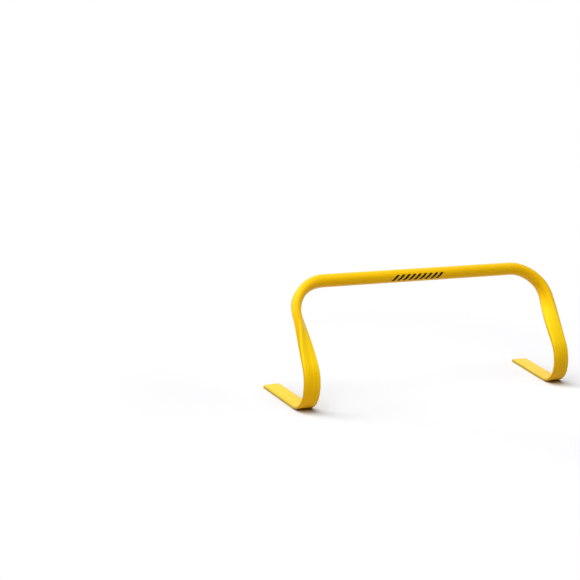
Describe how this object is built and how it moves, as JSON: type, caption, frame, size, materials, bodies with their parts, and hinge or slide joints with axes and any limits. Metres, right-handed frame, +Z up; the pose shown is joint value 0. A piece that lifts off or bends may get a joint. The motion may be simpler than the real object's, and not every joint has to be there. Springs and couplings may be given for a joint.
{
  "type": "speed hurdle",
  "caption": "Low training hurdle of bent plastic tube: a round crossbar whose ends curve forward and down, flatten into springy blade legs and turn back into flat feet.",
  "frame": {"origin": "on the floor, middle of the footprint", "axes": "+X along the crossbar to the right, +Y from the heels to the tips of the feet, +Z up; the legs lean towards -Y"},
  "size_m": [0.5994, 0.1698, 0.23],
  "materials": {
    "yellow_plastic": "glossy extruded tube, coloured through, with fine draw lines along it",
    "black_print": "printed mark, flat black"
  },
  "bodies": {
    "root": {"crossbar": "yellow_plastic", "left_shoulder": "yellow_plastic", "right_shoulder": "yellow_plastic", "left_leg": "yellow_plastic", "right_leg": "yellow_plastic", "left_heel": "yellow_plastic", "right_heel": "yellow_plastic", "left_foot": "yellow_plastic", "right_foot": "yellow_plastic"}
  },
  "joints": []
}
